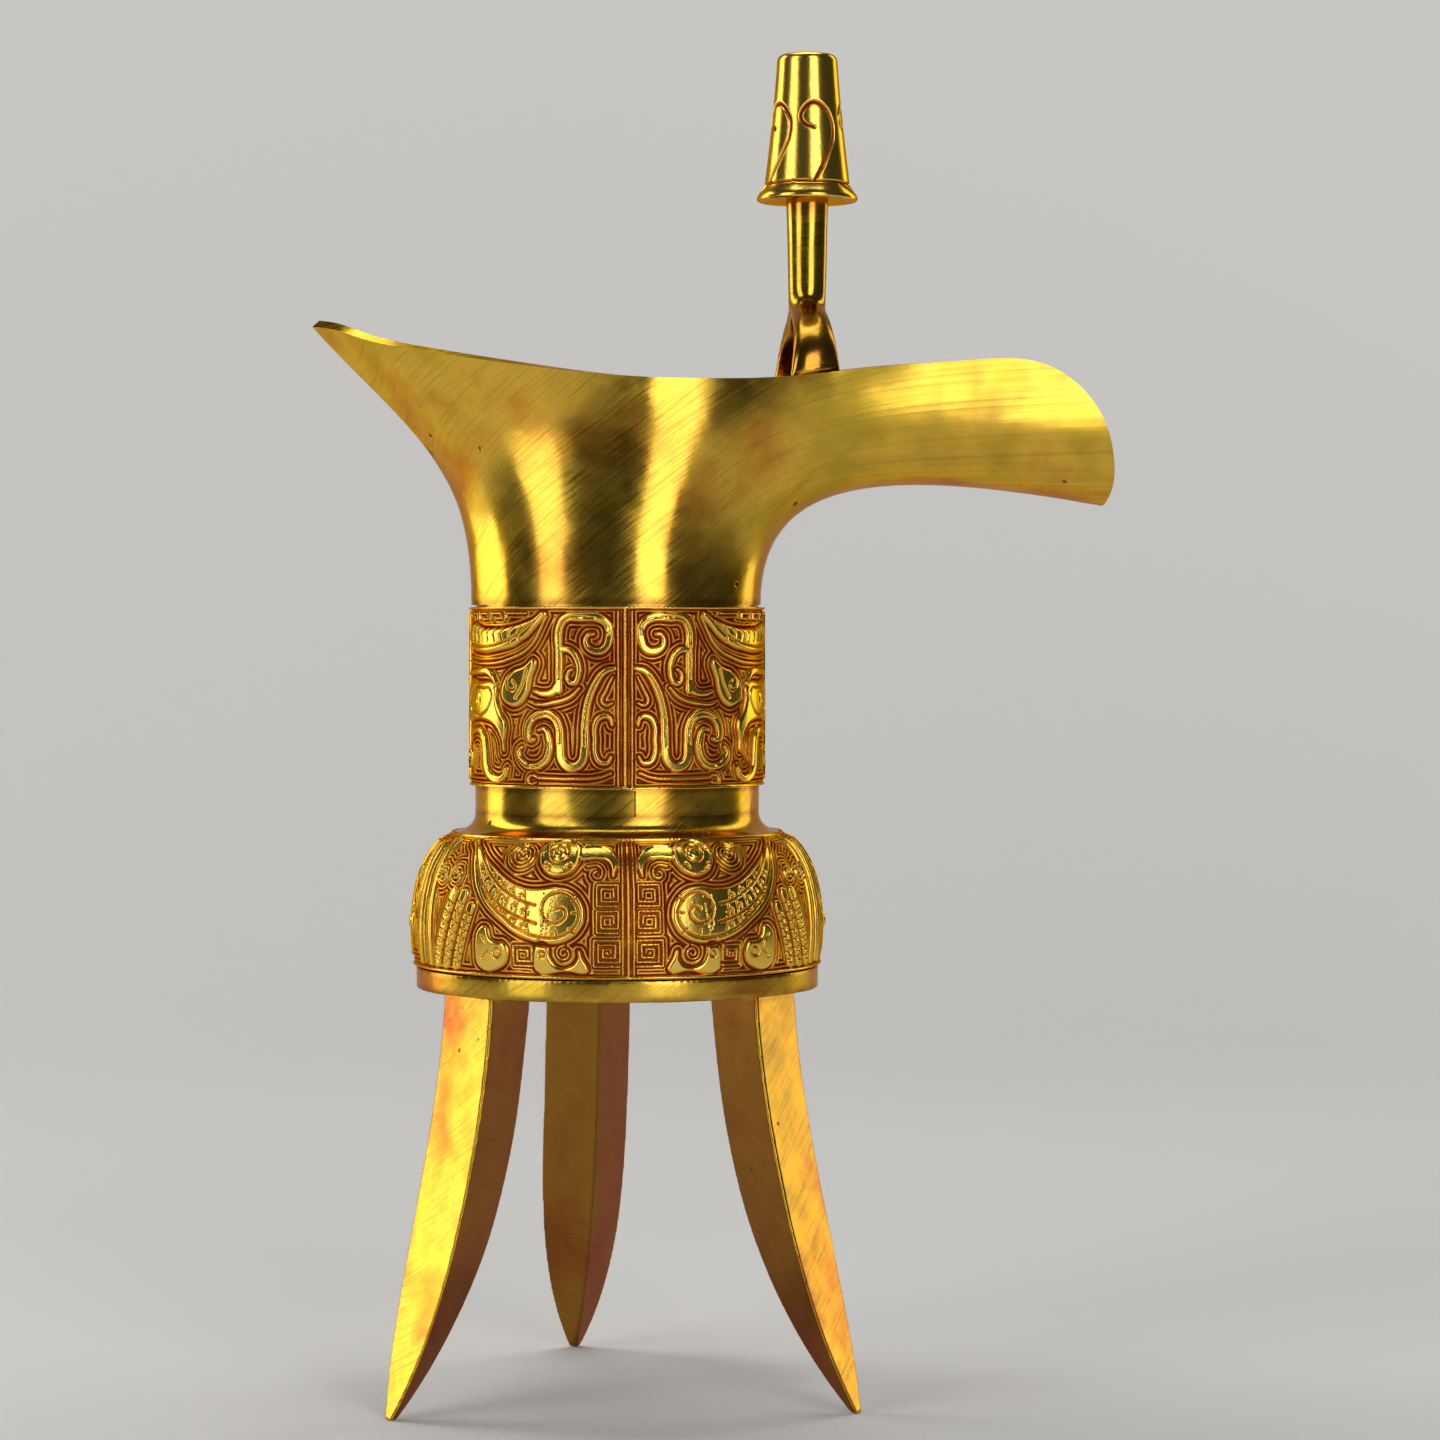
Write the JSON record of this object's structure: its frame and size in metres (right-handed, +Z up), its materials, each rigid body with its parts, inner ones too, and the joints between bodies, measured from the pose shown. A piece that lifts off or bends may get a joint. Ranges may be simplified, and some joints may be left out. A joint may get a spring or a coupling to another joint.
{
  "type": "jue vessel",
  "caption": "Gilt bronze jue: cast pouring cup with a long spout, a pointed tail, relief belts, a capped post on a forked root, a strap handle and curved blade legs.",
  "frame": {"origin": "on the floor under the axis of the cup's neck", "axes": "+Z up along the neck's axis, +X towards the spout, +Y towards the handle at the rear"},
  "size_m": [0.1432, 0.0859, 0.241],
  "materials": {
    "gilt_bronze": "polished gilding with soft scratches",
    "relief_bronze": "polished gilding on raised relief, red-brown patina in the recesses"
  },
  "bodies": {
    "root": {"mouth_shell": "gilt_bronze", "neck_band_front": "relief_bronze", "neck_band_rear": "relief_bronze", "neck_collar": "gilt_bronze", "belly_shell": "gilt_bronze", "belly_band_front": "relief_bronze", "belly_band_rear": "relief_bronze", "base_ring": "gilt_bronze", "base_plate": "gilt_bronze", "leg_front_left": "gilt_bronze", "leg_front_right": "gilt_bronze", "leg_rear": "gilt_bronze", "post": "gilt_bronze", "post_cap": "relief_bronze", "handle_strap": "gilt_bronze", "handle_head": "relief_bronze"}
  },
  "joints": []
}
